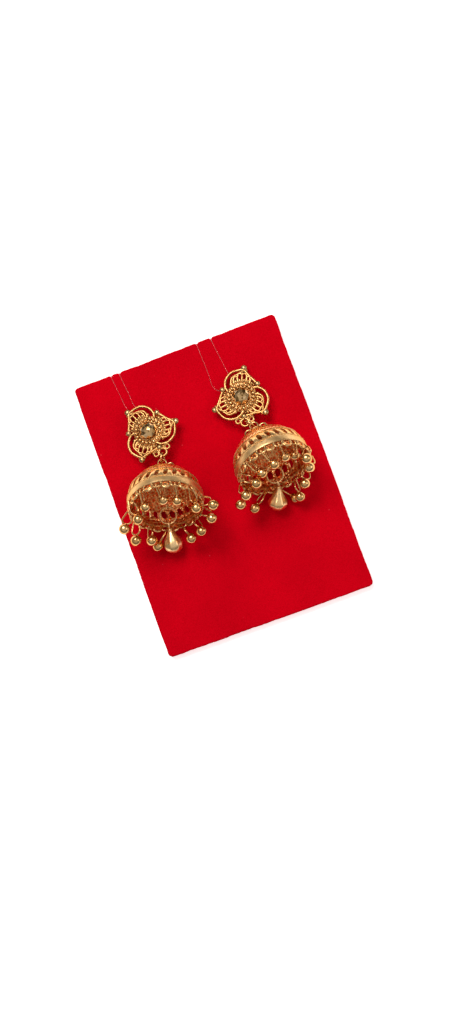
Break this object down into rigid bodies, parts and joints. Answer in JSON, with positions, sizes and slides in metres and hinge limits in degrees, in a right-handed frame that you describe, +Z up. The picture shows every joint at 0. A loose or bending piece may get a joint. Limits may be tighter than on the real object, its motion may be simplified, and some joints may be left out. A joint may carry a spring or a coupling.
{
  "type": "pair of jhumka earrings on a display card",
  "caption": "Pair of gold-coloured jhumka bell earrings with filigree rosettes, bead fringe and middle drop, tied with clear thread to a red flocked card.",
  "frame": {"origin": "centre of the card's flat underside", "axes": "+Z up out of the card's front, +Y along the card's length towards the edge that the threads go over, +X across the card"},
  "size_m": [0.057, 0.076, 0.0232],
  "materials": {
    "red_flock": "matte flocked card",
    "clear_thread": "clear nylon",
    "gold_filigree": "polished gold plating, worked wire and pierced sheet",
    "gold_bead": "polished gold plating",
    "gold_drop": "bright polished gold plating"
  },
  "bodies": {
    "root": {"display_card": "red_flock", "tie_thread_left": "clear_thread", "stud_rosette_left": "gold_filigree", "ear_post_left": "gold_filigree", "bell_dome_left": "gold_filigree", "link_ring_left": "gold_filigree", "centre_link_left": "gold_filigree", "centre_ring_left": "gold_filigree", "centre_drop_left": "gold_drop", "bead_drop_left_01": "gold_bead", "bead_drop_left_02": "gold_bead", "bead_drop_left_03": "gold_bead", "bead_drop_left_04": "gold_bead", "bead_drop_left_05": "gold_bead", "bead_drop_left_06": "gold_bead", "bead_drop_left_07": "gold_bead", "bead_drop_left_08": "gold_bead", "bead_drop_left_09": "gold_bead", "bead_drop_left_10": "gold_bead", "bead_drop_left_11": "gold_bead", "bead_drop_left_12": "gold_bead", "bead_drop_left_13": "gold_bead", "tie_thread_right": "clear_thread", "stud_rosette_right": "gold_filigree", "ear_post_right": "gold_filigree", "bell_dome_right": "gold_filigree", "link_ring_right": "gold_filigree", "centre_link_right": "gold_filigree", "centre_ring_right": "gold_filigree", "centre_drop_right": "gold_drop", "bead_drop_right_01": "gold_bead", "bead_drop_right_02": "gold_bead", "bead_drop_right_03": "gold_bead", "bead_drop_right_04": "gold_bead", "bead_drop_right_05": "gold_bead", "bead_drop_right_06": "gold_bead", "bead_drop_right_07": "gold_bead", "bead_drop_right_08": "gold_bead", "bead_drop_right_09": "gold_bead", "bead_drop_right_10": "gold_bead", "bead_drop_right_11": "gold_bead", "bead_drop_right_12": "gold_bead", "bead_drop_right_13": "gold_bead"}
  },
  "joints": []
}
